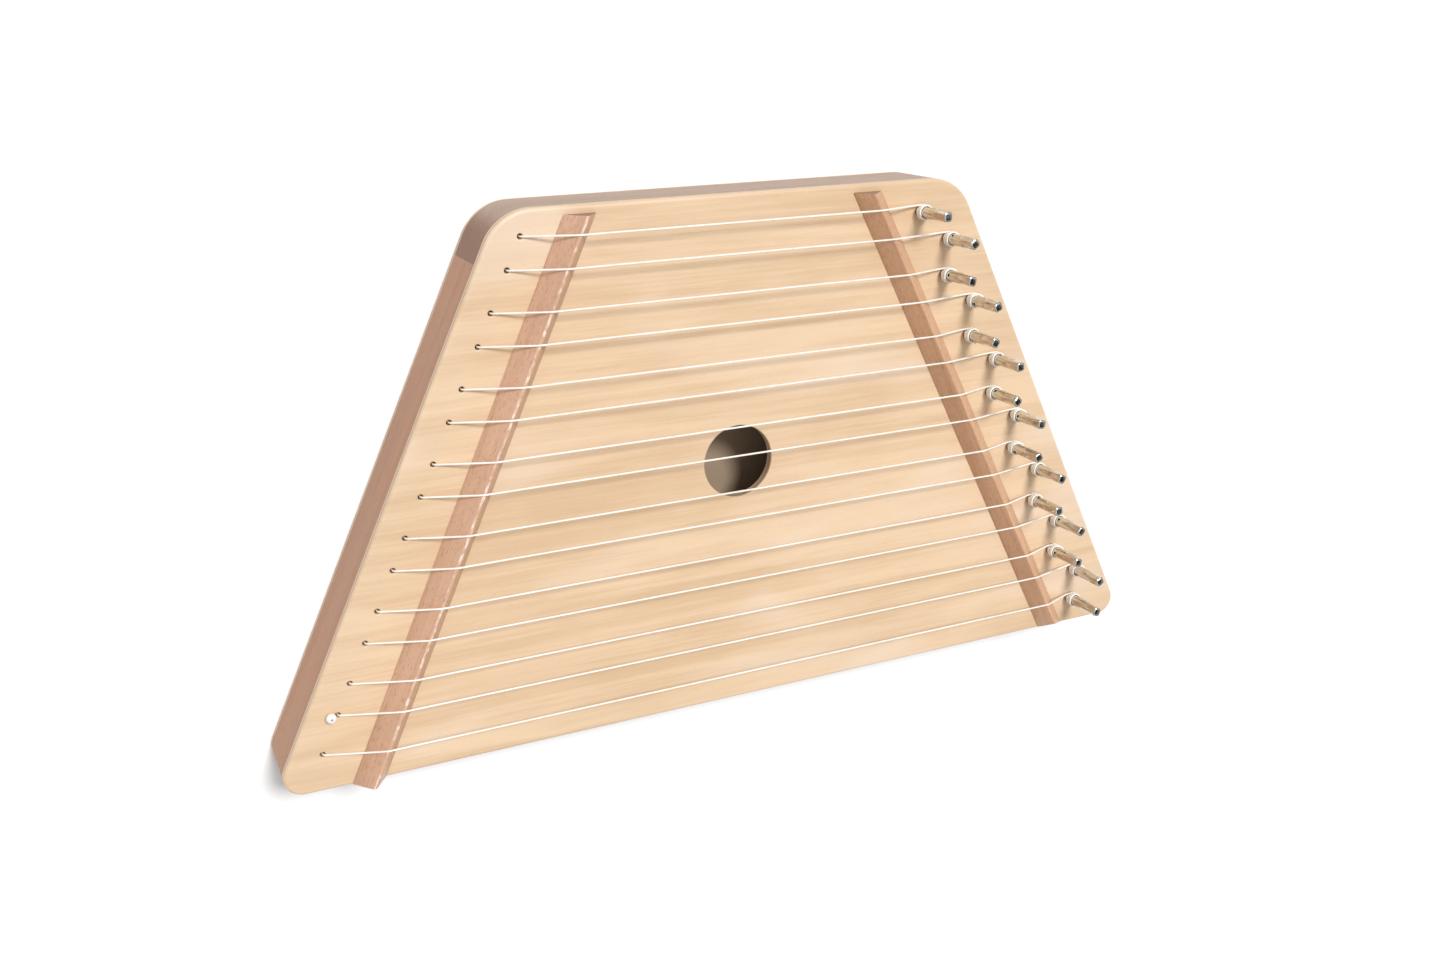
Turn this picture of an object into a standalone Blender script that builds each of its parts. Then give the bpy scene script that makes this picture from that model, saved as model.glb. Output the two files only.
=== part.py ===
# Table harp: a flat trapezoid sound box, fifteen strings over two bridges,
# and a tuning pin for every string.
# It lies on its back. +Z is out of the soundboard, +X runs along the strings
# to the tuning pins, and +Y runs from the long near edge to the short far edge.

import math

import bmesh
import bpy

MM = 0.001

# Outline of the sound box, seen from above
NEAR_LENGTH = 429.4 * MM
BODY_DEPTH = 230.0 * MM
SIDE_SLANT = math.radians(25.4)
NEAR_CORNER_RADIUS = 8.0 * MM
FAR_CORNER_RADIUS = 22.0 * MM
CORNER_STEPS = 5

# Layers of the sound box, from the table up
BACK_THICKNESS = 3.0 * MM
RIM_HEIGHT = 28.4 * MM
SOUNDBOARD_THICKNESS = 4.0 * MM
EDGE_ROUNDING = 1.4 * MM
EDGE_STEPS = 2
GLUE_GAP = 0.3 * MM

# Rim: two rails along the long edges, a solid block at each slanted end
RAIL_WIDTH = 20.5 * MM
HITCH_BLOCK_WIDTH = 28.0 * MM
PIN_BLOCK_WIDTH = 35.0 * MM

# Sound hole, from the middle of the soundboard
SOUND_HOLE_RADIUS = 16.2 * MM
SOUND_HOLE_X = -4.7 * MM
SOUND_HOLE_Y = -0.9 * MM
SOUND_HOLE_SIDES = 40

# Strings, counted from the far edge. They lie in pairs, so every second one
# is moved towards the far edge.
STRING_COUNT = 15
STRING_DIAMETER = 0.8 * MM
FIRST_STRING_INSET = 10.6 * MM
LAST_STRING_INSET = 16.5 * MM
PAIR_SHIFT = 1.7 * MM
REST_GAP = 0.3 * MM

# Hitch holes, where the strings come up through the box, with a pocket for
# the knot that is bored from the back
HITCH_HOLE_INSET = 13.3 * MM
HITCH_HOLE_SLACK = 0.8 * MM
HITCH_HOLE_SIDES = 10
KNOT_RADIUS = 1.5 * MM
KNOT_TAIL = 1.4 * MM
KNOT_POCKET_SLACK = 0.5 * MM
KNOT_POCKET_DEPTH = 9.0 * MM
STRING_BEND_RISE = 0.9 * MM

# Bridges: a three-sided bar each, steep towards the sounding length
BRIDGE_WIDTH = 14.4 * MM
BRIDGE_HEIGHT = 8.5 * MM
BRIDGE_CREST = 8.0 * MM
BRIDGE_CREST_WIDTH = 1.4 * MM
BRIDGE_FAR_SETBACK = 3.4 * MM
BRIDGE_NEAR_SETBACK = 0.3 * MM
HITCH_BRIDGE_NEAR_INSET = 31.0 * MM
HITCH_BRIDGE_FAR_INSET = 27.3 * MM
PIN_BRIDGE_NEAR_INSET = 37.1 * MM
PIN_BRIDGE_FAR_INSET = 41.6 * MM
PIN_BRIDGE_END_BEVEL = 4.5 * MM

# Tuning pins, in two columns along the slanted edge
PIN_RADIUS = 2.5 * MM
PIN_SIDES = 16
PIN_STAND = 22.5 * MM
PIN_SINK = 21.0 * MM
PIN_HEAD_WIDTH = 4.1 * MM
PIN_HEAD_LENGTH = 8.5 * MM
PIN_SHOULDER = 0.8 * MM
PIN_CHAMFER = 0.4 * MM
PIN_EYE_RADIUS = 0.7 * MM
PIN_EYE_RISE = 1.6 * MM
PIN_EYE_SIDES = 6
PIN_INNER_INSET = 26.4 * MM
PIN_OUTER_INSET = 18.1 * MM
PIN_CLEARANCE = 0.1 * MM
PIN_END_ROOM = 1.0 * MM
PIN_HEAD_TURN = math.radians(37.0)

# String windings on the pins
WINDING_TURNS = 4
WINDING_RISE = 2.0 * MM
WINDING_GAP = 0.15 * MM
WINDING_SIDES = 12
WINDING_GROOVE = 0.5

# The white bead beside one hitch hole
BEAD_STRING = 14
BEAD_RADIUS = 2.2 * MM
BEAD_HEIGHT = 3.6 * MM
BEAD_SIDES = 12

# Levels and edges that follow from the sizes above
NEAR_Y = -BODY_DEPTH / 2
FAR_Y = BODY_DEPTH / 2
RIM_LOW = BACK_THICKNESS + GLUE_GAP
RIM_TOP = RIM_LOW + RIM_HEIGHT
BOARD_LOW = RIM_TOP + GLUE_GAP
BOARD_TOP = BOARD_LOW + SOUNDBOARD_THICKNESS
STRING_RADIUS = STRING_DIAMETER / 2
BRIDGE_TOP = BOARD_TOP + GLUE_GAP + BRIDGE_HEIGHT
STRING_LEVEL = BRIDGE_TOP + REST_GAP + STRING_RADIUS
HITCH_HOLE_RADIUS = STRING_RADIUS + HITCH_HOLE_SLACK
KNOT_POCKET_RADIUS = KNOT_RADIUS + KNOT_POCKET_SLACK
WINDING_IN = PIN_RADIUS + WINDING_GAP
WINDING_MID = WINDING_IN + STRING_RADIUS
WINDING_OUT = WINDING_IN + STRING_DIAMETER
WINDING_LOW = BOARD_TOP + WINDING_RISE
WINDING_TOP = WINDING_LOW + WINDING_TURNS * STRING_DIAMETER

# Colours, roughness and metallic value of each material
FINISHES = {
    "soundboard_ply": ((0.80, 0.60, 0.40), 0.42, 0.0),
    "back_ply": ((0.74, 0.57, 0.40), 0.50, 0.0),
    "rim_beech": ((0.47, 0.31, 0.21), 0.45, 0.0),
    "bridge_beech": ((0.60, 0.36, 0.23), 0.48, 0.0),
    "pin_nickel": ((0.66, 0.63, 0.58), 0.25, 1.0),
    "string_nylon": ((0.90, 0.84, 0.76), 0.35, 0.0),
    "bead_white": ((0.92, 0.88, 0.82), 0.30, 0.0),
}


def make_material(name):
    colour, roughness, metallic = FINISHES[name]
    material = bpy.data.materials.new(name)
    material.use_nodes = True
    shader = material.node_tree.nodes["Principled BSDF"]
    shader.inputs["Base Color"].default_value = (*colour, 1.0)
    shader.inputs["Roughness"].default_value = roughness
    shader.inputs["Metallic"].default_value = metallic
    return material


def side_x(y, side):
    # X of the slanted edge at y: side is -1 at the hitch end, +1 at the pin end
    return side * (NEAR_LENGTH / 2 - (y - NEAR_Y) * math.tan(SIDE_SLANT))


def string_y(index):
    # index counts from 0 at the far edge
    span = BODY_DEPTH - FIRST_STRING_INSET - LAST_STRING_INSET
    pitch = span / (STRING_COUNT - 1)
    return FAR_Y - FIRST_STRING_INSET - index * pitch + PAIR_SHIFT * (index % 2)


def hitch_x(index):
    return side_x(string_y(index), -1) + HITCH_HOLE_INSET


def pin_place(index):
    # The string meets the winding on its far side
    y = string_y(index) - WINDING_MID
    inset = PIN_OUTER_INSET if index % 2 else PIN_INNER_INSET
    return side_x(y, 1) - inset, y


def bridge_foot_x(y, side):
    # X of the bridge's outer foot, which runs at its own slight skew
    if side < 0:
        near, far = HITCH_BRIDGE_NEAR_INSET, HITCH_BRIDGE_FAR_INSET
    else:
        near, far = PIN_BRIDGE_NEAR_INSET, PIN_BRIDGE_FAR_INSET
    share = (y - NEAR_Y) / BODY_DEPTH
    return side_x(y, side) - side * (near + (far - near) * share)


def bridge_crest_x(y, side):
    return bridge_foot_x(y, side) - side * BRIDGE_CREST


def rounded_outline(corners):
    # corners are (x, y, radius), anticlockwise. A radius of 0 keeps the point.
    points = []
    for index, (x, y, radius) in enumerate(corners):
        if radius == 0:
            points.append((x, y))
            continue
        before = corners[index - 1]
        after = corners[(index + 1) % len(corners)]
        to_before = math.atan2(before[1] - y, before[0] - x)
        to_after = math.atan2(after[1] - y, after[0] - x)
        opening = (to_before - to_after) % math.tau
        middle = to_after + opening / 2
        reach = radius / math.sin(opening / 2)
        centre_x = x + reach * math.cos(middle)
        centre_y = y + reach * math.sin(middle)
        turn = math.pi - opening
        for step in range(CORNER_STEPS + 1):
            angle = middle + math.pi - turn / 2 + turn * step / CORNER_STEPS
            points.append((centre_x + radius * math.cos(angle), centre_y + radius * math.sin(angle)))
    return points


def body_corners():
    return [
        (side_x(NEAR_Y, -1), NEAR_Y, NEAR_CORNER_RADIUS),
        (side_x(NEAR_Y, 1), NEAR_Y, NEAR_CORNER_RADIUS),
        (side_x(FAR_Y, 1), FAR_Y, FAR_CORNER_RADIUS),
        (side_x(FAR_Y, -1), FAR_Y, FAR_CORNER_RADIUS),
    ]


def link(name, data, collection, material=None):
    thing = bpy.data.objects.new(name, data)
    collection.objects.link(thing)
    if material:
        data.materials.append(material)
    return thing


def curve_to_mesh(thing, collection):
    # Swaps a curve object for a welded mesh object of the same name and place
    graph = bpy.context.evaluated_depsgraph_get()
    data = bpy.data.meshes.new_from_object(thing.evaluated_get(graph))
    form = bmesh.new()
    form.from_mesh(data)
    bmesh.ops.remove_doubles(form, verts=form.verts, dist=0.001 * MM)
    form.to_mesh(data)
    form.free()
    name, place = thing.name, thing.matrix_world.copy()
    curve = thing.data
    bpy.data.objects.remove(thing)
    bpy.data.curves.remove(curve)
    mesh_thing = bpy.data.objects.new(name, data)
    mesh_thing.matrix_world = place
    collection.objects.link(mesh_thing)
    return mesh_thing


def make_plate(name, points, low, high, collection, material):
    # A flat outline extruded both ways about its middle level
    curve = bpy.data.curves.new(name, "CURVE")
    curve.dimensions = "2D"
    curve.fill_mode = "BOTH"
    curve.extrude = (high - low) / 2
    line = curve.splines.new("POLY")
    line.points.add(len(points) - 1)
    for spot, (x, y) in zip(line.points, points):
        spot.co = (x, y, 0, 1)
    line.use_cyclic_u = True
    thing = link(name, curve, collection, material)
    thing.location.z = (low + high) / 2
    bpy.context.view_layer.update()
    return curve_to_mesh(thing, collection)


def round_rim(thing, upper):
    # Rounds the outer edge of a plate's upper or lower face
    form = bmesh.new()
    form.from_mesh(thing.data)
    sign = 1 if upper else -1
    edges = []
    for edge in form.edges:
        level = all(sign * vert.co.z > 0 for vert in edge.verts)
        faces = [abs(face.normal.z) for face in edge.link_faces]
        if level and min(faces) < 0.5 < max(faces):
            edges.append(edge)
    bmesh.ops.bevel(form, geom=edges, offset=EDGE_ROUNDING, segments=EDGE_STEPS, affect="EDGES", profile=0.5)
    form.to_mesh(thing.data)
    form.free()


def make_drills(name, places, radius, low, high, sides, collection):
    # One cutter with a round bar at each place
    form = bmesh.new()
    for x, y in places:
        bar = bmesh.ops.create_cone(
            form, cap_ends=True, segments=sides, radius1=radius, radius2=radius, depth=high - low)
        bmesh.ops.translate(form, verts=bar["verts"], vec=(x, y, (low + high) / 2))
    data = bpy.data.meshes.new(name)
    form.to_mesh(data)
    form.free()
    drills = link(name, data, collection)
    drills.hide_render = True
    drills.display_type = "WIRE"
    return drills


def cut(thing, cutter):
    modifier = thing.modifiers.new("cut_" + cutter.name, "BOOLEAN")
    modifier.operation = "DIFFERENCE"
    modifier.solver = "EXACT"
    modifier.object = cutter


def make_box(parts, cutters, materials):
    over = 1.0 * MM
    hitch_places = [(hitch_x(index), string_y(index)) for index in range(STRING_COUNT)]
    pin_places = [pin_place(index) for index in range(STRING_COUNT)]
    hitch_drills = make_drills("hitch_drills", hitch_places, HITCH_HOLE_RADIUS,
                               -over, BOARD_TOP + over, HITCH_HOLE_SIDES, cutters)
    knot_drills = make_drills("knot_drills", hitch_places, KNOT_POCKET_RADIUS,
                              -over, KNOT_POCKET_DEPTH, HITCH_HOLE_SIDES, cutters)
    flats = math.cos(math.pi / PIN_SIDES)
    pin_drills = make_drills("pin_drills", pin_places, (PIN_RADIUS + PIN_CLEARANCE) / flats,
                             BOARD_TOP - PIN_SINK - PIN_END_ROOM, BOARD_TOP + over, PIN_SIDES, cutters)
    hole_drill = make_drills("sound_hole_drill", [(SOUND_HOLE_X, SOUND_HOLE_Y)], SOUND_HOLE_RADIUS,
                             BOARD_LOW - over, BOARD_TOP + over, SOUND_HOLE_SIDES, cutters)

    outline = rounded_outline(body_corners())
    soundboard = make_plate("soundboard", outline, BOARD_LOW, BOARD_TOP, parts, materials["soundboard_ply"])
    round_rim(soundboard, upper=True)
    for drill in (hitch_drills, pin_drills, hole_drill):
        cut(soundboard, drill)

    back = make_plate("back_board", outline, 0, BACK_THICKNESS, parts, materials["back_ply"])
    round_rim(back, upper=False)
    cut(back, knot_drills)

    near_joint = NEAR_Y + RAIL_WIDTH
    far_joint = FAR_Y - RAIL_WIDTH
    near_left, near_right, far_right, far_left = body_corners()
    far_rail = rounded_outline([
        (side_x(far_joint, -1), far_joint, 0),
        (side_x(far_joint, 1), far_joint, 0),
        far_right,
        far_left,
    ])
    near_rail = rounded_outline([
        near_left,
        near_right,
        (side_x(near_joint, 1), near_joint, 0),
        (side_x(near_joint, -1), near_joint, 0),
    ])
    low_y = near_joint + GLUE_GAP
    high_y = far_joint - GLUE_GAP
    hitch_block = [
        (side_x(low_y, -1), low_y),
        (side_x(low_y, -1) + HITCH_BLOCK_WIDTH, low_y),
        (side_x(high_y, -1) + HITCH_BLOCK_WIDTH, high_y),
        (side_x(high_y, -1), high_y),
    ]
    pin_block = [
        (side_x(low_y, 1) - PIN_BLOCK_WIDTH, low_y),
        (side_x(low_y, 1), low_y),
        (side_x(high_y, 1), high_y),
        (side_x(high_y, 1) - PIN_BLOCK_WIDTH, high_y),
    ]
    beech = materials["rim_beech"]
    for name, points, drills in (
        ("top_rail", far_rail, (hitch_drills, knot_drills, pin_drills)),
        ("bottom_rail", near_rail, (hitch_drills, knot_drills, pin_drills)),
        ("hitch_block", hitch_block, (hitch_drills, knot_drills)),
        ("pin_block", pin_block, (pin_drills,)),
    ):
        piece = make_plate(name, points, RIM_LOW, RIM_TOP, parts, beech)
        for drill in drills:
            cut(piece, drill)


def face_out(form):
    # Turns a closed form's faces outwards, whatever its place: its volume tells
    bmesh.ops.recalc_face_normals(form, faces=form.faces)
    if form.calc_volume(signed=True) < 0:
        bmesh.ops.reverse_faces(form, faces=form.faces)


def make_bridge(name, side, end_bevel, parts, material):
    # The section stands in XZ and is drawn out along Y, then sheared to its skew
    low_y = NEAR_Y + BRIDGE_NEAR_SETBACK
    high_y = FAR_Y - BRIDGE_FAR_SETBACK
    half_crest = BRIDGE_CREST_WIDTH / 2
    section = [
        (0, 0),
        (-side * BRIDGE_WIDTH, 0),
        (-side * (BRIDGE_CREST + half_crest), BRIDGE_HEIGHT),
        (-side * (BRIDGE_CREST - half_crest), BRIDGE_HEIGHT),
    ]
    bar = make_plate(name, section, low_y, high_y, parts, material)
    middle = bar.location.z
    skew = (bridge_foot_x(high_y, side) - bridge_foot_x(low_y, side)) / (high_y - low_y)
    form = bmesh.new()
    form.from_mesh(bar.data)
    for vert in form.verts:
        x, height, along = vert.co.x, vert.co.y, vert.co.z
        y = middle + along
        if along < 0:
            y += end_bevel * height / BRIDGE_HEIGHT
        foot = bridge_foot_x(low_y, side) + skew * (y - low_y)
        vert.co = (foot + x, y, BOARD_TOP + GLUE_GAP + height)
    face_out(form)
    form.to_mesh(bar.data)
    form.free()
    bar.location = (0, 0, 0)
    return bar


def pin_profile():
    # Radius and height up the pin, from the centre of its foot
    top = PIN_STAND
    head = top - PIN_HEAD_LENGTH
    return [
        (0, -PIN_SINK),
        (PIN_RADIUS - PIN_CHAMFER, -PIN_SINK),
        (PIN_RADIUS, -PIN_SINK + PIN_CHAMFER),
        (PIN_RADIUS, head - PIN_SHOULDER),
        (PIN_RADIUS, head),
        (PIN_RADIUS, top - PIN_CHAMFER),
        (PIN_RADIUS - PIN_CHAMFER, top),
        (0, top),
    ]


def spin_profile(profile, sides):
    # A turned form about Z from (radius, height) points, foot to top
    form = bmesh.new()
    verts = [form.verts.new((radius, 0, height)) for radius, height in profile]
    edges = [form.edges.new(pair) for pair in zip(verts, verts[1:])]
    if profile[0][0] > 0:
        edges.append(form.edges.new((verts[-1], verts[0])))
    bmesh.ops.spin(form, geom=verts + edges, cent=(0, 0, 0), axis=(0, 0, 1),
                   angle=math.tau, steps=sides, use_merge=True)
    bmesh.ops.remove_doubles(form, verts=form.verts, dist=0.001 * MM)
    face_out(form)
    return form


def make_pin_mesh(material):
    # Two opposite pairs of flats square the head, as if filed
    form = spin_profile(pin_profile(), PIN_SIDES)
    flat = PIN_HEAD_WIDTH / 2
    for vert in form.verts:
        if vert.co.z > PIN_STAND - PIN_HEAD_LENGTH - PIN_SHOULDER / 2:
            vert.co.x = max(-flat, min(flat, vert.co.x))
            vert.co.y = max(-flat, min(flat, vert.co.y))
    data = bpy.data.meshes.new("tuning_pin")
    form.to_mesh(data)
    form.free()
    data.materials.append(material)
    data.shade_smooth()
    data.set_sharp_from_angle(angle=math.radians(35))
    return data


def make_winding_mesh(material):
    # Touching turns: a ridge for each, with a groove between neighbours
    low = WINDING_LOW - BOARD_TOP
    groove = WINDING_IN + STRING_DIAMETER * WINDING_GROOVE
    profile = [(WINDING_IN, low)]
    for turn in range(WINDING_TURNS):
        profile.append((groove, low + turn * STRING_DIAMETER))
        profile.append((WINDING_OUT, low + (turn + 0.5) * STRING_DIAMETER))
    top = WINDING_TOP - BOARD_TOP
    profile.append((groove, top))
    profile.append((WINDING_IN, top))
    form = spin_profile(profile, WINDING_SIDES)
    data = bpy.data.meshes.new("string_winding")
    form.to_mesh(data)
    form.free()
    data.materials.append(material)
    return data


def make_pins(parts, cutters, materials):
    pin_mesh = make_pin_mesh(materials["pin_nickel"])
    winding_mesh = make_winding_mesh(materials["string_nylon"])
    eye_height = WINDING_TOP - BOARD_TOP + PIN_EYE_RISE
    for index in range(STRING_COUNT):
        x, y = pin_place(index)
        number = f"{index + 1:02d}"
        pin = link("tuning_pin_" + number, pin_mesh, parts)
        pin.location = (x, y, BOARD_TOP)
        pin.rotation_euler.z = index * PIN_HEAD_TURN
        eye = make_drills("eye_drill_" + number, [(0, 0)], PIN_EYE_RADIUS,
                          -2 * PIN_RADIUS, 2 * PIN_RADIUS, PIN_EYE_SIDES, cutters)
        eye.rotation_euler = (math.pi / 2, 0, index * PIN_HEAD_TURN)
        eye.location = (x, y, BOARD_TOP + eye_height)
        cut(pin, eye)
        winding = link("string_winding_" + number, winding_mesh, parts)
        winding.parent = pin
        # Undoes the pin's turn, so the same facet faces the string on every pin
        winding.rotation_euler.z = -index * PIN_HEAD_TURN


def string_path(index):
    # (x, z, radius factor) from the tail of the knot to the winding
    x, y = hitch_x(index), string_y(index)
    knot = KNOT_RADIUS / STRING_RADIUS
    knot_z = KNOT_POCKET_DEPTH - REST_GAP - KNOT_RADIUS
    path = []
    path.append((x, knot_z - KNOT_RADIUS - KNOT_TAIL, 1.0))
    for share in (-1.0, -0.6, 0.0, 0.6, 1.0):
        bulge = max(1.0, knot * math.sqrt(1 - share * share))
        path.append((x, knot_z + share * KNOT_RADIUS, bulge))
    bend_z = BOARD_TOP + STRING_BEND_RISE
    hitch_crest = bridge_crest_x(y, -1)
    pin_crest = bridge_crest_x(y, 1)
    half_crest = BRIDGE_CREST_WIDTH / 2
    rise = (STRING_LEVEL - bend_z) / (hitch_crest - half_crest - x)
    bend = 2 * STRING_RADIUS
    path.append((x, bend_z - bend, 1.0))
    path.append((x + bend, bend_z + bend * rise, 1.0))
    for crest in (hitch_crest, pin_crest):
        path.append((crest - half_crest, STRING_LEVEL, 1.0))
        path.append((crest + half_crest, STRING_LEVEL, 1.0))
    # The strand stops just before the turns, beside their round side
    inner = WINDING_MID - STRING_RADIUS
    reach = math.sqrt(WINDING_OUT ** 2 - inner ** 2) + REST_GAP
    path.append((pin_place(index)[0] - reach, WINDING_LOW + STRING_RADIUS, 1.0))
    return path


def make_strings(parts, material):
    for index in range(STRING_COUNT):
        name = f"string_{index + 1:02d}"
        curve = bpy.data.curves.new(name, "CURVE")
        curve.dimensions = "3D"
        curve.bevel_depth = STRING_RADIUS
        curve.bevel_resolution = 1
        curve.use_fill_caps = True
        path = string_path(index)
        line = curve.splines.new("POLY")
        line.points.add(len(path) - 1)
        for spot, (x, z, factor) in zip(line.points, path):
            spot.co = (x, string_y(index), z, 1)
            spot.radius = factor
        link(name, curve, parts, material)


def make_bead(parts, material):
    index = BEAD_STRING - 1
    x = hitch_x(index) - STRING_RADIUS - REST_GAP - BEAD_RADIUS
    form = bmesh.new()
    bmesh.ops.create_uvsphere(form, u_segments=BEAD_SIDES, v_segments=BEAD_SIDES // 2, radius=BEAD_RADIUS)
    bmesh.ops.scale(form, verts=form.verts, vec=(1, 1, BEAD_HEIGHT / 2 / BEAD_RADIUS))
    data = bpy.data.meshes.new("string_end_bead")
    form.to_mesh(data)
    form.free()
    data.shade_smooth()
    bead = link("string_end_bead", data, parts, material)
    bead.location = (x, string_y(index), BOARD_TOP + REST_GAP + BEAD_HEIGHT / 2)


def main():
    for thing in list(bpy.data.objects):
        bpy.data.objects.remove(thing)
    parts = bpy.data.collections.new("table_harp")
    cutters = bpy.data.collections.new("cutters")
    for collection in (parts, cutters):
        bpy.context.scene.collection.children.link(collection)
    materials = {name: make_material(name) for name in FINISHES}
    make_box(parts, cutters, materials)
    make_bridge("left_bridge", -1, 0, parts, materials["bridge_beech"])
    make_bridge("right_bridge", 1, PIN_BRIDGE_END_BEVEL, parts, materials["bridge_beech"])
    make_pins(parts, cutters, materials)
    make_strings(parts, materials["string_nylon"])
    make_bead(parts, materials["bead_white"])


main()
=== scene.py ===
import math

import bmesh
import bpy
from mathutils import Matrix, Vector


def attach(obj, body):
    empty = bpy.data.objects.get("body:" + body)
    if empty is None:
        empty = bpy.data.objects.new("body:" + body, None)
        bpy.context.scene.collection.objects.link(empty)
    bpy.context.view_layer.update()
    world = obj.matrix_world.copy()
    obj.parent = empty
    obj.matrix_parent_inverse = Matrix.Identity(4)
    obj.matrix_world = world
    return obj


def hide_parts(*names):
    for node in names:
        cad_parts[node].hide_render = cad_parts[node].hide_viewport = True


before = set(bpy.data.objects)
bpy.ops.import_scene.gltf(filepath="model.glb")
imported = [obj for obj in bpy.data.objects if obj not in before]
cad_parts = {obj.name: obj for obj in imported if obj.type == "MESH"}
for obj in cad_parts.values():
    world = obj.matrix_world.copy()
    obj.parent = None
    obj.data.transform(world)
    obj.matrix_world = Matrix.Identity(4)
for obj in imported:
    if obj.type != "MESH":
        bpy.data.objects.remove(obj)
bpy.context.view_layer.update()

mm = 0.001
weld = 0.001 * mm  # points closer than this are one
scene = bpy.context.scene
scene.view_settings.view_transform = "Standard"

cameraLook = {
    "place": (-0.25288, 0.18424, 0.56330),
    "right": (0.9079, -0.0166, 0.4189),
    "up": (0.1463, 0.9490, -0.2793),
    "focal": 34.854,
    "sensor": 36.0,
    "shift": (-0.0009, -0.0006),
    "nearClip": 0.01,
}


def addCamera(look):
    right = Vector(look["right"]).normalized()
    back = right.cross(Vector(look["up"])).normalized()
    up = back.cross(right)
    data = bpy.data.cameras.new("photoCamera")
    data.sensor_fit = "HORIZONTAL"
    data.sensor_width = look["sensor"]
    data.lens = look["focal"]
    data.shift_x, data.shift_y = look["shift"]
    data.clip_start = look["nearClip"]
    holder = bpy.data.objects.new("photoCamera", data)
    turn = Matrix((right, up, back)).transposed().to_4x4()
    holder.matrix_world = Matrix.Translation(look["place"]) @ turn
    scene.collection.objects.link(holder)
    scene.camera = holder


addCamera(cameraLook)


class Port:  # a node's output that takes part in sums
    def __init__(self, graph, socket):
        self.graph = graph
        self.socket = socket

    def calc(self, operation, first, second=None):
        return self.graph.make("ShaderNodeMath", (first, second), operation=operation)

    def __add__(self, other):
        return self.calc("ADD", self, other)

    def __radd__(self, other):
        return self.calc("ADD", other, self)

    def __sub__(self, other):
        return self.calc("SUBTRACT", self, other)

    def __rsub__(self, other):
        return self.calc("SUBTRACT", other, self)

    def __mul__(self, other):
        return self.calc("MULTIPLY", self, other)

    def __rmul__(self, other):
        return self.calc("MULTIPLY", other, self)

    def __abs__(self):
        return self.calc("ABSOLUTE", self)


class Graph:  # the nodes of a material or the world, and the one way to add to them
    def __init__(self, owner):
        owner.use_nodes = True
        self.owner = owner
        self.tree = owner.node_tree

    def make(self, kind, inputs=(), output=0, **settings):
        node = self.tree.nodes.new(kind)
        for key, value in settings.items():
            setattr(node, key, value)
        pairs = inputs.items() if isinstance(inputs, dict) else enumerate(inputs)
        for key, value in pairs:
            if isinstance(value, Port):
                self.tree.links.new(value.socket, node.inputs[key])
            elif value is not None:
                node.inputs[key].default_value = value
        return Port(self, node.outputs[output])

    def feed(self, target, **ports):
        node = self.tree.nodes[target]
        for key, port in ports.items():
            self.tree.links.new(port.socket, node.inputs[key.replace("_", " ")])
        return self.owner


def newMaterial(look):
    graph = Graph(bpy.data.materials.new(look["name"]))
    shader = graph.tree.nodes["Principled BSDF"]
    for key, value in look["constants"].items():
        shader.inputs[key].default_value = value
    return graph


def coordinate(graph, kind):
    return graph.make("ShaderNodeTexCoord", output=kind)


def component(graph, vector, axis):
    return graph.make("ShaderNodeSeparateXYZ", (vector,), output=axis)


def turned(graph, vector, angle):  # the grain runs along the turned vector's X
    return graph.make("ShaderNodeMapping", {"Vector": vector, "Rotation": (0, 0, -angle)})


def fade(graph, value, low, high, start=0.0, end=1.0):
    return graph.make("ShaderNodeMapRange", (value, low, high, start, end),
                      interpolation_type="SMOOTHSTEP")


def blend(graph, factor, first, second):
    return graph.make("ShaderNodeMix", {0: factor, 6: first, 7: second}, output=2,
                      data_type="RGBA")


def noise(graph, space, stretch, detail=3.0, roughness=0.55, distortion=0.0):
    stretched = graph.make("ShaderNodeVectorMath", (space, stretch), operation="MULTIPLY")
    return graph.make("ShaderNodeTexNoise", {
        "Vector": stretched, "Scale": 1.0, "Detail": detail,
        "Roughness": roughness, "Distortion": distortion})


def makeLayers(graph, space, look):  # every noise that the look lists, by its name
    return {name: noise(graph, space, *values) for name, values in look["noises"].items()}


def weigh(layers, shares):  # adds up the layers that the shares name
    return sum(layers[name] * share for name, share in shares.items())


def sheen(graph, layers, look):
    return fade(graph, weigh(layers, look["sheen"]), *look["sheenFade"], *look["gloss"])


def relief(graph, layers, look):
    return graph.make("ShaderNodeBump", {
        "Strength": look["reliefStrength"], "Distance": look["reliefDepth"],
        "Height": weigh(layers, look["relief"])})


studioLook = {
    "toLight": (0.09, 0.46, 0.88),
    "sunStrength": 2.35,
    "sunSize": math.radians(15.0),
    "zenith": (0.86, 0.86, 0.86, 1.0),
    "horizon": (0.14, 0.14, 0.14, 1.0),
    "dark": (0.02, 0.02, 0.02, 1.0),  # a patch that the pins' ends mirror
    "toDark": (0.42, -0.30, 0.86),
    "darkEdge": (0.93, 0.975),
    "seen": (1.0, 1.0, 1.0, 1.0),  # what the camera sees past the floor
    "floorSize": 8.0,
    "floorDrop": 0.2 * mm,
}
paperLook = {
    "name": "studioPaper",
    "constants": {"Base Color": (0.93, 0.93, 0.93, 1.0), "Roughness": 0.9,
                  "Specular IOR Level": 0.1},
}


def addSun(look):
    sun = bpy.data.lights.new("keyLight", "SUN")
    sun.energy = look["sunStrength"]
    sun.angle = look["sunSize"]
    holder = bpy.data.objects.new("keyLight", sun)
    holder.rotation_euler = Vector(look["toLight"]).to_track_quat("Z", "Y").to_euler()
    scene.collection.objects.link(holder)


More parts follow.
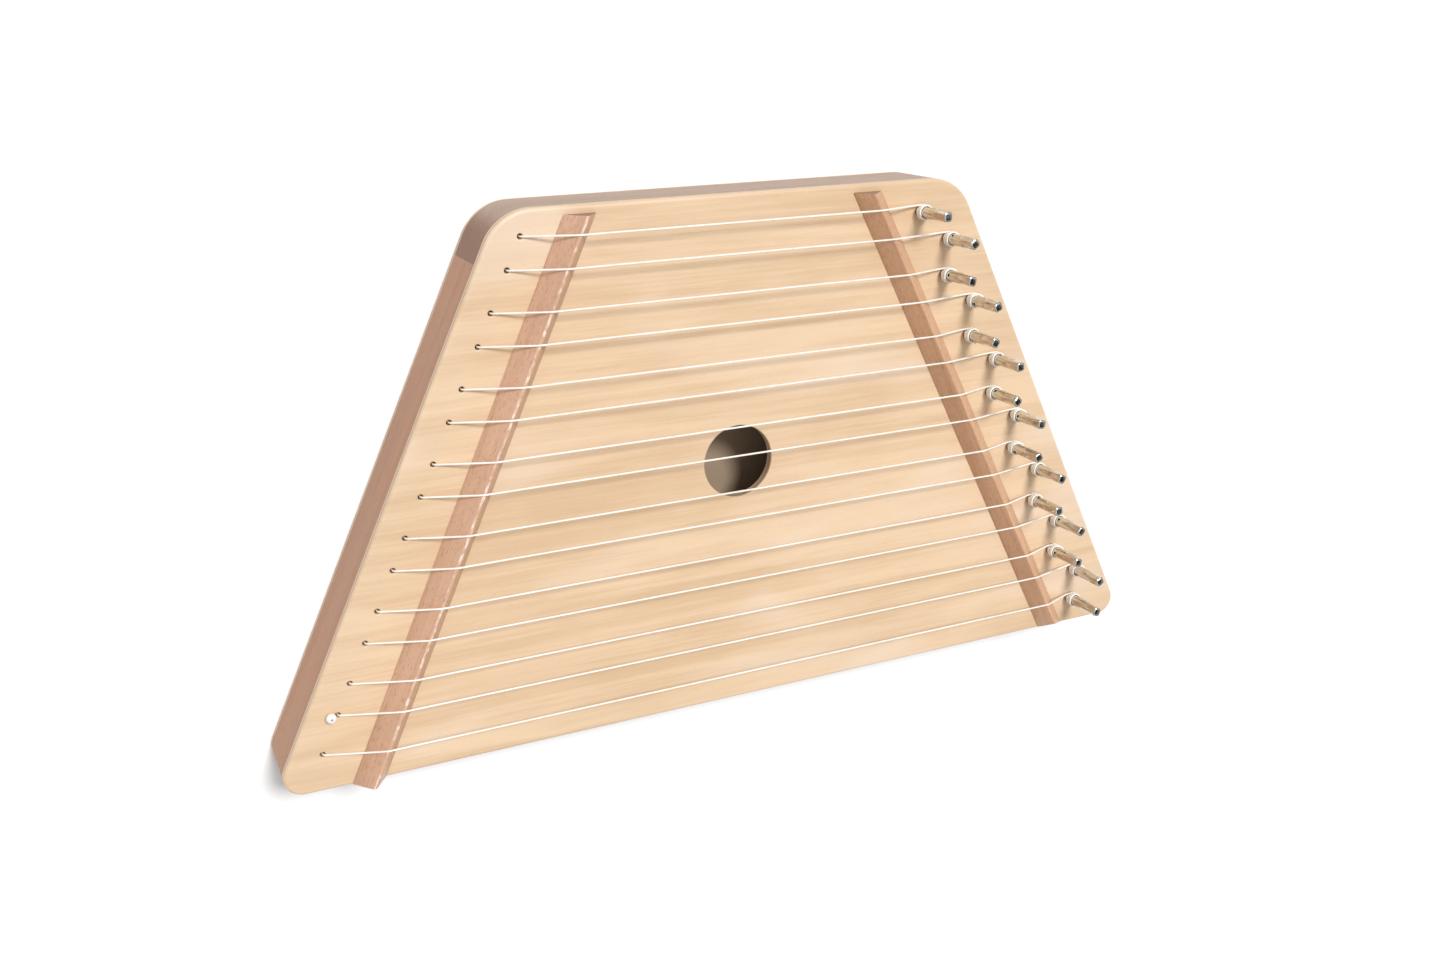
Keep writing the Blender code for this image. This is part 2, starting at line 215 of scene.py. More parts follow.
def addAir(look):
    scene.world = bpy.data.worlds.new("studioAir")
    graph = Graph(scene.world)
    direction = coordinate(graph, "Generated")
    toDark = Vector(look["toDark"]).normalized()
    near = graph.make("ShaderNodeVectorMath", (direction, toDark), output="Value",
                      operation="DOT_PRODUCT")
    sky = blend(graph, component(graph, direction, 2), look["horizon"], look["zenith"])
    sky = blend(graph, fade(graph, near, *look["darkEdge"]), sky, look["dark"])
    seen = graph.make("ShaderNodeLightPath", output="Is Camera Ray")
    graph.feed("Background", Color=blend(graph, seen, sky, look["seen"]))


def addFloor(look, paper):
    form = bmesh.new()
    bmesh.ops.create_grid(form, x_segments=1, y_segments=1, size=look["floorSize"] / 2)
    bmesh.ops.translate(form, verts=form.verts, vec=(0, 0, -look["floorDrop"]))
    data = bpy.data.meshes.new("studioFloor")
    form.to_mesh(data)
    form.free()
    data.materials.append(newMaterial(paper).owner)
    floor = bpy.data.objects.new("studioFloor", data)
    scene.collection.objects.link(floor)


addSun(studioLook)
addAir(studioLook)
addFloor(studioLook, paperLook)
print("camera and studio ready")

# A noise is its stretch along, across and through the grain, then the detail,
# roughness and distortion. Shares say how much of each layer a sum takes.
soundboardPlyLook = {
    "name": "soundboardPly",
    "constants": {"Coat Weight": 0.18, "Coat Roughness": 0.32, "IOR": 1.48},
    "light": (0.775, 0.575, 0.385, 1), "dark": (0.655, 0.455, 0.283, 1),
    "pore": (0.45, 0.27, 0.15, 1), "pale": (0.80, 0.64, 0.50, 1),
    "veneer": (0.74, 0.55, 0.37, 1), "core": (0.52, 0.34, 0.20, 1),
    "noises": {
        "broad": ((5, 95, 30), 3.0, 0.5, 0.7),
        "fibre": ((22, 900, 300), 5.0, 0.7),
        "blotch": ((11, 17, 11), 2.0),
        "cloud": ((40, 130, 60), 3.0),
        "pore": ((230, 3400, 1200), 2.0),
        "patch": ((8, 26, 8), 2.0, 0.5, 0.6),
        "speck": ((1700, 1700, 2600), 2.0),
    },
    "figure": {"broad": 0.42, "fibre": 0.26, "blotch": 0.2, "cloud": 0.12},
    "figureFade": (0.37, 0.61),
    "patchFade": (0.52, 0.72), "patchShare": 0.6,
    "poreFade": (0.64, 0.76), "poreShare": 0.32,
    "coreMiddle": 33.95 * mm, "coreHalf": 0.75 * mm, "coreSoft": 0.12 * mm, "coreShare": 0.8,
    "speckFade": (0.4, 0.75), "speckShare": 0.4,
    "faceFade": (0.3, 0.6),  # from the layered edge to the flat face, by the normal
    "sheen": {"fibre": 0.6, "blotch": 0.4}, "sheenFade": (0.35, 0.65), "gloss": (0.36, 0.50),
    "relief": {"fibre": 0.7, "pore": -0.6}, "reliefDepth": 0.05 * mm, "reliefStrength": 0.5,
    "shadeInside": None,
}
backPlyLook = dict(
    soundboardPlyLook, name="backPly", coreMiddle=1.55 * mm, coreHalf=0.45 * mm,
    light=(0.66, 0.48, 0.31, 1), dark=(0.54, 0.37, 0.23, 1), pale=(0.64, 0.49, 0.36, 1),
    gloss=(0.45, 0.6),
    # the inner face gets painted shade, darker inside the box
    shadeInside={"fade": (2.9 * mm, 3.0 * mm), "colour": (0.42, 0.31, 0.21, 1)})


def plywood(look):
    graph = newMaterial(look)
    space = turned(graph, coordinate(graph, "Object"), 0.0)
    height = component(graph, space, 2)
    layers = makeLayers(graph, space, look)
    layers["pore"] = fade(graph, layers["pore"], *look["poreFade"])
    figure = fade(graph, weigh(layers, look["figure"]), *look["figureFade"])
    face = blend(graph, figure, look["dark"], look["light"])
    patch = fade(graph, layers["patch"], *look["patchFade"])
    face = blend(graph, patch * look["patchShare"], face, look["pale"])
    face = blend(graph, layers["pore"] * look["poreShare"], face, look["pore"])
    if look["shadeInside"]:  # painted shade: the face that shows through the sound hole is darkened, as inside the box
        shadeInside = fade(graph, height, *look["shadeInside"]["fade"])
        face = blend(graph, shadeInside, face, look["shadeInside"]["colour"])
    half = look["coreHalf"]
    core = fade(graph, abs(height - look["coreMiddle"]), half + look["coreSoft"], half)
    edge = blend(graph, core * look["coreShare"], look["veneer"], look["core"])
    speck = fade(graph, layers["speck"], *look["speckFade"])
    edge = blend(graph, speck * look["speckShare"], edge, look["pore"])
    upwards = abs(component(graph, coordinate(graph, "Normal"), 2))
    return graph.feed(
        "Principled BSDF",
        Base_Color=blend(graph, fade(graph, upwards, *look["faceFade"]), edge, face),
        Roughness=sheen(graph, layers, look), Normal=relief(graph, layers, look))


hitchGrain = math.radians(90.0 - 25.4)  # along the hitch side, from +X
pinGrain = math.pi - hitchGrain

beechLook = {
    "constants": {"Coat Weight": 0.06, "Coat Roughness": 0.35, "IOR": 1.45},
    "light": (0.495, 0.236, 0.118, 1), "dark": (0.405, 0.186, 0.09, 1),
    "fleck": (0.25, 0.11, 0.055, 1),
    "end": (0.255, 0.114, 0.055, 1), "endRing": (0.20, 0.087, 0.04, 1),
    "noises": {
        "broad": ((7, 110, 90), 3.0, 0.55, 0.8),
        "fibre": ((30, 1100, 900), 5.0, 0.7),
        "blotch": ((14, 30, 30), 2.0),
        "fleck": ((330, 2300, 2300), 1.0, 0.4),
        "rings": ((20, 60, 700), 3.0, 0.5, 0.5),
        "pores": ((1500, 2600, 2600), 2.0),
    },
    "figure": {"broad": 0.45, "fibre": 0.3, "blotch": 0.25},
    "figureFade": (0.38, 0.62),
    "fleckFade": (0.60, 0.70), "fleckShare": 0.4,
    "ringsFade": (0.40, 0.62), "ringsShare": 0.55,
    "poresFade": (0.52, 0.68), "poresShare": 0.35,
    "endFade": (0.45, 0.85),  # from side grain to end grain, by the normal
    "sheen": {"fibre": 0.6, "blotch": 0.4}, "sheenFade": (0.35, 0.65), "gloss": (0.42, 0.56),
    "relief": {"fibre": 0.6, "fleck": -0.8}, "reliefDepth": 0.07 * mm, "reliefStrength": 0.6,
    "crest": None,
}
# The rails' greyer colour is partly their own paler wood, partly painted reflection of the
# light on the far face.
farRailLook = dict(
    beechLook, name="farRailBeech", angle=0.0,
    light=(0.413, 0.282, 0.203, 1), dark=(0.34, 0.228, 0.158, 1))
nearRailLook = dict(
    farRailLook, name="nearRailBeech",
    end=(0.475, 0.23, 0.104, 1), endRing=(0.38, 0.173, 0.076, 1))
hitchBeechLook = dict(beechLook, name="hitchBeech", angle=hitchGrain)
pinBeechLook = dict(beechLook, name="pinBeech", angle=pinGrain)
rightBridgeLook = dict(
    beechLook, name="rightBridgeBeech", angle=pinGrain,
    light=(0.70, 0.425, 0.262, 1), dark=(0.575, 0.33, 0.195, 1), fleck=(0.36, 0.165, 0.085, 1),
    noises=dict(beechLook["noises"], fleck=((420, 2300, 2300), 1.0, 0.4)), fleckShare=0.5,
    gloss=(0.30, 0.44))
leftBridgeLook = dict(
    rightBridgeLook, name="leftBridgeBeech", angle=hitchGrain,
    light=(0.695, 0.434, 0.297, 1), dark=(0.573, 0.34, 0.222, 1),
    # the whitish crest line is a painted highlight, partly real wax
    crest={"fade": (45.4 * mm, 45.7 * mm), "wave": ((230, 700, 700), 3.0, 0.6),
           "waveHeight": 1.3 * mm, "colour": (0.95, 0.88, 0.80, 1), "share": 0.75,
           "shine": 0.16})


def beech(look):
    graph = newMaterial(look)
    space = turned(graph, coordinate(graph, "Object"), look["angle"])
    layers = makeLayers(graph, space, look)
    layers["fleck"] = fade(graph, layers["fleck"], *look["fleckFade"])
    figure = fade(graph, weigh(layers, look["figure"]), *look["figureFade"])
    side = blend(graph, figure, look["dark"], look["light"])
    side = blend(graph, layers["fleck"] * look["fleckShare"], side, look["fleck"])
    rings = fade(graph, layers["rings"], *look["ringsFade"])
    end = blend(graph, rings * look["ringsShare"], look["end"], look["endRing"])
    pores = fade(graph, layers["pores"], *look["poresFade"])
    end = blend(graph, pores * look["poresShare"], end, look["fleck"])
    facing = turned(graph, coordinate(graph, "Normal"), look["angle"])
    across = fade(graph, abs(component(graph, facing, 0)), *look["endFade"])
    colour = blend(graph, across, side, end)
    rough = sheen(graph, layers, look)
    crest = look["crest"]
    if crest:  # a painted highlight along the crest, partly a real waxy line, broken by a wave
        height = component(graph, space, 2)
        wave = noise(graph, space, *crest["wave"]) * crest["waveHeight"]
        line = fade(graph, height + wave, *crest["fade"])
        colour = blend(graph, line * crest["share"], colour, crest["colour"])
        rough = rough - line * crest["shine"]
    return graph.feed("Principled BSDF", Base_Color=colour, Roughness=rough,
                      Normal=relief(graph, layers, look))


nickelLook = {
    "name": "pinNickel",
    "constants": {"Metallic": 1.0, "IOR": 1.8},
    "light": (0.71, 0.68, 0.61, 1), "dark": (0.55, 0.52, 0.45, 1),
    "stain": (0.36, 0.32, 0.25, 1),
    "noises": {
        "turning": ((250, 250, 5200), 3.0),
        "cloud": ((420, 420, 260), 3.0),
        "stain": ((900, 900, 700), 4.0, 0.65),
    },
    "figure": {"turning": 0.5, "cloud": 0.5}, "figureFade": (0.38, 0.62),
    "stainFade": (0.60, 0.74), "stainShare": 0.3,
    "sheen": {"cloud": 0.6, "turning": 0.4}, "sheenFade": (0.35, 0.68), "gloss": (0.10, 0.24),
    "relief": {"turning": 1.0}, "reliefDepth": 0.01 * mm, "reliefStrength": 0.2,
}


def nickel(look):
    graph = newMaterial(look)
    layers = makeLayers(graph, coordinate(graph, "Object"), look)
    figure = fade(graph, weigh(layers, look["figure"]), *look["figureFade"])
    colour = blend(graph, figure, look["dark"], look["light"])
    stain = fade(graph, layers["stain"], *look["stainFade"])
    return graph.feed(
        "Principled BSDF",
        Base_Color=blend(graph, stain * look["stainShare"], colour, look["stain"]),
        Roughness=sheen(graph, layers, look), Normal=relief(graph, layers, look))


nylonLook = {
    "name": "stringNylon",
    "constants": {"IOR": 1.53, "Coat Weight": 0.3, "Coat Roughness": 0.2},
    "light": (0.95, 0.91, 0.85, 1), "dark": (0.88, 0.82, 0.74, 1),
    "noises": {"streak": ((60, 900, 900), 3.0), "cloud": ((300, 300, 300), 2.0)},
    "figure": {"streak": 0.6, "cloud": 0.4}, "figureFade": (0.35, 0.62),
    "sheen": {"cloud": 1.0}, "sheenFade": (0.35, 0.65), "gloss": (0.26, 0.40),
    "relief": {"streak": 1.0}, "reliefDepth": 0.02 * mm, "reliefStrength": 0.3,
}
beadLook = dict(
    nylonLook, name="beadWhite",
    light=(0.93, 0.90, 0.86, 1), dark=(0.86, 0.82, 0.76, 1), gloss=(0.2, 0.34))


def nylon(look):
    graph = newMaterial(look)
    layers = makeLayers(graph, coordinate(graph, "Object"), look)
    figure = fade(graph, weigh(layers, look["figure"]), *look["figureFade"])
    return graph.feed(
        "Principled BSDF", Base_Color=blend(graph, figure, look["dark"], look["light"]),
        Roughness=sheen(graph, layers, look), Normal=relief(graph, layers, look))


soundboardPly = plywood(soundboardPlyLook)
backPly = plywood(backPlyLook)
farRailBeech = beech(farRailLook)
nearRailBeech = beech(nearRailLook)
hitchBeech = beech(hitchBeechLook)
pinBeech = beech(pinBeechLook)
leftBridgeBeech = beech(leftBridgeLook)
rightBridgeBeech = beech(rightBridgeLook)
pinNickel = nickel(nickelLook)
stringNylon = nylon(nylonLook)
beadWhite = nylon(beadLook)
print("materials ready")

harp = {
    "nearLength": 429.4 * mm, "depth": 230.0 * mm, "slant": math.radians(25.4),
    "nearRadius": 8.0 * mm, "farRadius": 22.0 * mm, "cornerSteps": 14,
    "leastRadius": 0.02 * mm,  # of a corner that is drawn in
    "backTop": 3.13 * mm, "rimLow": 3.18 * mm, "rimTop": 31.82 * mm,
    "boardLow": 31.87 * mm, "boardTop": 36.0 * mm,
    "rail": 20.5 * mm, "hitchBlock": 28.0 * mm, "pinBlock": 35.0 * mm,
    "joint": 0.13 * mm, "seam": 0.04 * mm,  # between rails and blocks
    "nick": 0.16 * mm,  # broken edges along the glue lines
    "edgeRound": 1.4 * mm, "roundSteps": 6, "flatBand": 0.5 * mm,
    "sharp": 32,
}
nearY = -harp["depth"] / 2
farY = harp["depth"] / 2
boardTop = harp["boardTop"]

stringLook = {
    "count": 15, "radius": 0.42 * mm, "rounds": 3, "sharp": 50,
    "firstInset": 10.6 * mm, "lastInset": 16.5 * mm, "pairShift": 1.7 * mm,
    "holeInset": 13.3 * mm, "holeRadius": 1.2 * mm, "holeSides": 24,
    "pocketRadius": 2.0 * mm, "pocketTop": 9.0 * mm, "pocketSides": 28,
    "knotScale": 0.4 * mm, "knotHeight": 7.2 * mm, "knotNeck": 1.3 * mm,
    "knotStart": 25, "knotSpan": 310, "knotSteps": 24,  # degrees round the knot
    "tail": 1.4 * mm, "tailShift": (0.35 * mm, -0.2 * mm),
    "riser": (12 * mm, 24 * mm),
    # Out of the hole: (along the string, above the soundboard)
    "bend": ((0.0, -1.6 * mm), (0.06 * mm, -0.7 * mm), (0.25 * mm, -0.02 * mm),
             (0.6 * mm, 0.42 * mm)),
    "bendEnd": (1.1 * mm, 0.78 * mm),
    "climbShares": (0.0, 0.3, 0.6, 0.9), "climbShort": 0.7 * mm,
    "level": 45.12 * mm,
    "ontoCrest": ((-0.6 * mm, -0.1 * mm), (-0.1 * mm, 0.0)), "spanSteps": 24,
    "offCrest": (0.1 * mm, 0.7 * mm), "offDrop": 0.35 * mm,
    "fallShares": (0.3, 0.6, 0.85), "fallStart": 0.6 * mm, "fallLag": 0.4 * mm,
    "landing": 3.2 * mm, "landingRise": 0.1 * mm, "beside": 1.2 * mm, "wrapSteps": 30,
}
pinLook = {
    "radius": 2.5 * mm, "stand": 22.5 * mm, "sink": 21.0 * mm, "sides": 48, "sharp": 30,
    "footRadius": 2.0 * mm, "footBevel": 0.5 * mm,
    "headLength": 8.5 * mm, "flat": 2.2 * mm, "shoulder": 0.9 * mm, "shoulderSteps": 4,
    "dome": 0.75 * mm, "domeInset": 0.52, "domeSteps": 8,
    "inner": 26.4 * mm, "outer": 18.1 * mm,  # the two columns, from the slanted side
    "boreRadius": 2.62 * mm, "boreLow": 14.0 * mm, "boreSides": 36,
    "eyeRadius": 0.7 * mm, "eyeHeight": 6.8 * mm, "eyeSides": 24,
    "turn": math.radians(37.0),  # from one pin to the next
}
windingLook = {
    "middle": 3.05 * mm, "low": 2.4 * mm, "turnStart": 3.22 * mm, "turnEnd": 4.78 * mm,
    "turns": 2.0, "wrap": math.radians(306.0), "stepsPerTurn": 30,
    "startAngle": math.radians(200), "eyeSide": math.atan2(0.62, -0.78),
    "leastClimb": math.radians(110), "rampTurn": math.radians(150), "climbIn": 0.1 * mm,
    # Into the eye: (distance from the pin's axis, degrees short of the eye)
    "intoEye": ((2.85 * mm, 11), (2.6 * mm, 5), (2.2 * mm, 1.5), (1.6 * mm, 0), (0.6 * mm, 0)),
}


def sideX(y, side):
    return side * (harp["nearLength"] / 2 - (y - nearY) * math.tan(harp["slant"]))


def stringY(index):
    look = stringLook
    pitch = (harp["depth"] - look["firstInset"] - look["lastInset"]) / (look["count"] - 1)
    return farY - look["firstInset"] - index * pitch + look["pairShift"] * (index % 2)


def holeX(index):
    return sideX(stringY(index), -1) + stringLook["holeInset"]


def pinPlace(index):
    y = stringY(index) - windingLook["middle"]
    return sideX(y, 1) - (pinLook["outer"] if index % 2 else pinLook["inner"]), y


def ring(corners, inset=0.0, steps=harp["cornerSteps"]):  # anticlockwise, corners rounded
    points = []
    for index, (x, y, radius) in enumerate(corners):
        before = corners[index - 1]
        after = corners[(index + 1) % len(corners)]
        toBefore = math.atan2(before[1] - y, before[0] - x)
        toAfter = math.atan2(after[1] - y, after[0] - x)
        opening = (toBefore - toAfter) % math.tau
        middle = toAfter + opening / 2
        reach = (radius or inset) / math.sin(opening / 2)
        centre = (x + reach * math.cos(middle), y + reach * math.sin(middle))
        if radius == 0:
            points.append(centre)
            continue
        turn = math.pi - opening
        left = max(radius - inset, harp["leastRadius"])
        for step in range(steps + 1):
            angle = middle + math.pi - turn / 2 + turn * step / steps
            points.append((centre[0] + left * math.cos(angle),
                           centre[1] + left * math.sin(angle)))
    return points


def circle(centre, radius, height, sides):
    points = []
    for step in range(sides):
        angle = math.tau * step / sides
        points.append((centre[0] + radius * math.cos(angle),
                       centre[1] + radius * math.sin(angle), height))
    return points


def quarter(steps):  # (how far in, how far up) round a quarter circle
    return [(1 - math.cos(math.pi / 2 * step / steps), math.sin(math.pi / 2 * step / steps))
            for step in range(steps + 1)]


def newForm():
    form = bmesh.new()
    form.verts.layers.int.new("spot")  # a point's number in its loop
    return form


def raiseLoops(form, loops):  # skins one closed loop after the other
    spot = form.verts.layers.int["spot"]
    verts = []
    for index, point in enumerate(loops[0]):
        vert = form.verts.new(point)
        vert[spot] = index
        verts.append(vert)
    first = [form.edges.new(pair) for pair in zip(verts, verts[1:] + verts[:1])]
    edges = first
    for loop in loops[1:]:
        grown = bmesh.ops.extrude_edge_only(form, edges=edges)["geom"]
        edges = [piece for piece in grown if isinstance(piece, bmesh.types.BMEdge)]
        for piece in grown:
            if isinstance(piece, bmesh.types.BMVert):
                piece.co = loop[piece[spot]]
    return first, edges


def soften(data, sharp):  # smooth but for edges sharper than this many degrees
    data.shade_smooth()
    data.set_sharp_from_angle(angle=math.radians(sharp))


def toMesh(form, name, sharp):
    spot = form.verts.layers.int.get("spot")
    if spot is not None:
        form.verts.layers.int.remove(spot)
    bmesh.ops.recalc_face_normals(form, faces=form.faces)
    if form.calc_volume(signed=True) < 0:
        bmesh.ops.reverse_faces(form, faces=form.faces)
    data = bpy.data.meshes.new(name)
    form.to_mesh(data)
    form.free()
    soften(data, sharp)
    return data


def baked(thing):  # its mesh with the modifiers or the bevel worked in
    bpy.context.view_layer.update()
    return bpy.data.meshes.new_from_object(
        thing.evaluated_get(bpy.context.evaluated_depsgraph_get()))


def place(name, data, material, node, body):
    data.materials.clear()
    data.materials.append(material)
    thing = bpy.data.objects.new(name, data)
    scene.collection.objects.link(thing)
    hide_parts(node)
    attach(thing, body)


def newBore(spot, rings, sides, blind=False):
    return {"spot": spot, "rings": rings, "sides": sides, "blind": blind}


def drilledPlate(name, rings, bores):
    form = newForm()
    low, high = raiseLoops(form, [[(x, y, height) for x, y in points]
                                  for points, height in rings])
    for bore in bores:
        foot, mouth = raiseLoops(form, [circle(bore["spot"], radius, height, bore["sides"])
                                        for radius, height in bore["rings"]])
        high = high + mouth
        if bore["blind"]:
            bmesh.ops.edgeloop_fill(form, edges=foot)
        else:
            low = low + foot
    bmesh.ops.triangle_fill(form, edges=low, use_beauty=True, normal=(0, 0, -1))
    bmesh.ops.triangle_fill(form, edges=high, use_beauty=True, normal=(0, 0, 1))
    return toMesh(form, name, harp["sharp"])


bodyCorners = [
    (sideX(nearY, -1), nearY, harp["nearRadius"]),
    (sideX(nearY, 1), nearY, harp["nearRadius"]),
    (sideX(farY, 1), farY, harp["farRadius"]),
    (sideX(farY, -1), farY, harp["farRadius"]),
]
holePlaces = [(holeX(index), stringY(index)) for index in range(stringLook["count"])]
pinPlaces = [pinPlace(index) for index in range(stringLook["count"])]

soundboardLook = {
    "hole": (-4.7 * mm, -0.9 * mm), "holeRadius": 16.2 * mm, "holeSides": 96,
    "holeRound": 0.5 * mm, "holeRoundSteps": 4,
    "rimChamfer": 0.28 * mm, "rimEase": (0.3, 0.4),  # of each string hole
    "pinChamfer": 0.12 * mm,
}


def makeSoundboard(look):
    low, top, nick = harp["boardLow"], boardTop, harp["nick"]
    soft, band = harp["edgeRound"], harp["flatBand"]
    rings = [(ring(bodyCorners, nick), low), (ring(bodyCorners), low + nick)]
    for inwards, up in quarter(harp["roundSteps"]):
        rings.append((ring(bodyCorners, soft * inwards), top - soft + soft * up))
    rings.append((ring(bodyCorners, soft + band), top))
    bores = []
    radius, rim = stringLook["holeRadius"], look["rimChamfer"]
    out, down = look["rimEase"]
    for spot in holePlaces:
        levels = [(radius, low), (radius, top - rim), (radius + rim * out, top - rim * down),
                  (radius + rim, top), (radius + rim + band, top)]
        bores.append(newBore(spot, levels, stringLook["holeSides"]))
    radius, rim = pinLook["boreRadius"], look["pinChamfer"]
    for spot in pinPlaces:
        levels = [(radius, low), (radius, top - rim), (radius + rim, top),
                  (radius + rim + band, top)]
        bores.append(newBore(spot, levels, pinLook["boreSides"]))
    radius, soft = look["holeRadius"], look["holeRound"]
    levels = [(radius, low), (radius, top - soft - band)]
    for inwards, up in quarter(look["holeRoundSteps"]):
        levels.append((radius + soft * inwards, top - soft + soft * up))
    levels.append((radius + soft + band, top))
    bores.append(newBore(look["hole"], levels, look["holeSides"]))
    data = drilledPlate("soundboardPanel", rings, bores)
    place("soundboardPanel", data, soundboardPly, "soundboard", "harp_body")


backLook = {"pocketChamfer": 0.25 * mm}


def makeBack(look):
    top, nick, soft = harp["backTop"], harp["nick"], harp["edgeRound"]
    rings = [(ring(bodyCorners, soft + harp["flatBand"]), 0.0)]
    for outwards, up in reversed(quarter(harp["roundSteps"])):
        rings.append((ring(bodyCorners, soft * outwards), soft - soft * up))
    rings += [(ring(bodyCorners), top - nick), (ring(bodyCorners, nick), top)]
    radius, rim = stringLook["pocketRadius"], look["pocketChamfer"]
    levels = [(radius + rim, 0.0), (radius, rim), (radius, top)]
    bores = [newBore(spot, levels, stringLook["pocketSides"]) for spot in holePlaces]
    data = drilledPlate("backPanel", rings, bores)
    place("backPanel", data, backPly, "back_board", "harp_body")


def rimPiece(name, corners, node, material, hitches, pins):
    low, top, nick = harp["rimLow"], harp["rimTop"], harp["nick"]
    rings = [(ring(corners, nick), low), (ring(corners), low + nick),
             (ring(corners), top - nick), (ring(corners, nick), top)]
    hole, pocket = stringLook["holeRadius"], stringLook["pocketRadius"]
    step = stringLook["pocketTop"]
    levels = [(pocket, low), (pocket, step), (hole, step), (hole, top)]
    bores = [newBore(spot, levels, stringLook["pocketSides"]) for spot in hitches]
    levels = [(pinLook["boreRadius"], pinLook["boreLow"]), (pinLook["boreRadius"], top)]
    bores += [newBore(spot, levels, pinLook["boreSides"], blind=True) for spot in pins]
    data = drilledPlate(name, rings, bores)
    place(name, data, material, node, "harp_body")


def between(spots, low, high):
    return [spot for spot in spots if low < spot[1] < high]


def blockCorners(side, low, high, width):
    lows = sorted((sideX(low, side), sideX(low, side) - side * width))
    highs = sorted((sideX(high, side), sideX(high, side) - side * width), reverse=True)
    return [(x, low, 0) for x in lows] + [(x, high, 0) for x in highs]


def makeRim():
    farJoint = farY - harp["rail"] - harp["joint"]
    nearJoint = nearY + harp["rail"] + harp["joint"]
    blockFar, blockNear = farJoint - harp["seam"], nearJoint + harp["seam"]
    nearLeft, nearRight, farRight, farLeft = bodyCorners
    corners = [(sideX(farJoint, -1), farJoint, 0), (sideX(farJoint, 1), farJoint, 0),
               farRight, farLeft]
    rimPiece("farRail", corners, "top_rail", farRailBeech,
             between(holePlaces, farJoint, farY), between(pinPlaces, farJoint, farY))
    corners = [nearLeft, nearRight,
               (sideX(nearJoint, 1), nearJoint, 0), (sideX(nearJoint, -1), nearJoint, 0)]
    rimPiece("nearRail", corners, "bottom_rail", nearRailBeech,
             between(holePlaces, nearY, nearJoint), between(pinPlaces, nearY, nearJoint))
    rimPiece("hitchBlock", blockCorners(-1, blockNear, blockFar, harp["hitchBlock"]),
             "hitch_block", hitchBeech, between(holePlaces, nearJoint, farJoint), [])
    rimPiece("pinBlock", blockCorners(1, blockNear, blockFar, harp["pinBlock"]),
             "pin_block", pinBeech, [], between(pinPlaces, nearJoint, farJoint))


makeSoundboard(soundboardLook)
makeBack(backLook)
makeRim()
print("sound box ready")

bridgeLook = {
    "width": 14.4 * mm, "height": 8.76 * mm, "foot": 36.04 * mm,
    "crest": 8.0 * mm, "crestHalf": 0.7 * mm,
    "nearSetback": 0.3 * mm, "farSetback": 3.4 * mm,
    "footRound": 0.35 * mm, "crestRound": 0.75 * mm, "cornerSteps": 5,
    "endRound": 0.35 * mm, "endEase": 0.3, "cutBlend": 24.0 * mm,
    "notch": 0.14 * mm, "notchWidth": 0.55 * mm, "notchReach": 0.4 * mm,
    "notchSteps": (-2, -1, -0.5, 0, 0.5, 1, 2), "steps": 40, "leastStep": 0.1 * mm,
}
hitchBridge = {"side": -1, "near": 31.0 * mm, "far": 27.3 * mm, "endCut": 0.0}
pinBridge = {"side": 1, "near": 37.1 * mm, "far": 41.6 * mm, "endCut": 4.5 * mm}


def footX(y, bar):
    share = (y - nearY) / harp["depth"]
    inwards = bar["near"] + (bar["far"] - bar["near"]) * share
    return sideX(y, bar["side"]) - bar["side"] * inwards


def crestX(y, bar):
    return footX(y, bar) - bar["side"] * bridgeLook["crest"]


def bridgeStations(look, low, high):  # (place along the bar, how far it is drawn in)
    soft, ease = look["endRound"], look["endEase"]
    count = look["steps"]
    levels = [low + soft + (high - low - 2 * soft) * step / count for step in range(1, count)]
    for index in range(stringLook["count"]):
        levels += [stringY(index) + look["notchWidth"] * shift for shift in look["notchSteps"]]
    levels = sorted(level for level in levels if low + soft < level < high - soft)
    kept = [levels[0]]
    for level in levels[1:]:
        if level - kept[-1] > look["leastStep"]:
            kept.append(level)
    return ([(low, soft), (low + ease * soft, ease * soft), (low + soft, 0.0)]
            + [(level, 0.0) for level in kept]
            + [(high - soft, 0.0), (high - ease * soft, ease * soft), (high, soft)])


def makeBridge(name, node, bar, material, look):
    low, high = nearY + look["nearSetback"], farY - look["farSetback"]
    corners = [
        (0.0, 0.0, look["footRound"]), (look["width"], 0.0, look["footRound"]),
        (look["crest"] + look["crestHalf"], look["height"], look["crestRound"]),
        (look["crest"] - look["crestHalf"], look["height"], look["crestRound"]),
    ]
    loops = []
    for level, inset in bridgeStations(look, low, high):
        dip = sum(math.exp(-((level - stringY(index)) / look["notchWidth"]) ** 2)
                  for index in range(stringLook["count"]))
        share = 1 - min(1.0, (level - low) / look["cutBlend"])
        loop = []
        for across, up in ring(corners, inset, look["cornerSteps"]):
            y = level + bar["endCut"] * share * up / look["height"]
            if up > look["height"] - look["notchReach"]:
                up -= look["notch"] * dip
            loop.append((footX(y, bar) - bar["side"] * across, y, look["foot"] + up))
        loops.append(loop)
    form = newForm()
    for ends in raiseLoops(form, loops):
        bmesh.ops.edgeloop_fill(form, edges=ends)
    data = toMesh(form, name, harp["sharp"])
    place(name, data, material, node, "harp_body")


makeBridge("hitchSideBridge", "left_bridge", hitchBridge, leftBridgeBeech, bridgeLook)
makeBridge("pinSideBridge", "right_bridge", pinBridge, rightBridgeBeech, bridgeLook)
print("bridges ready")


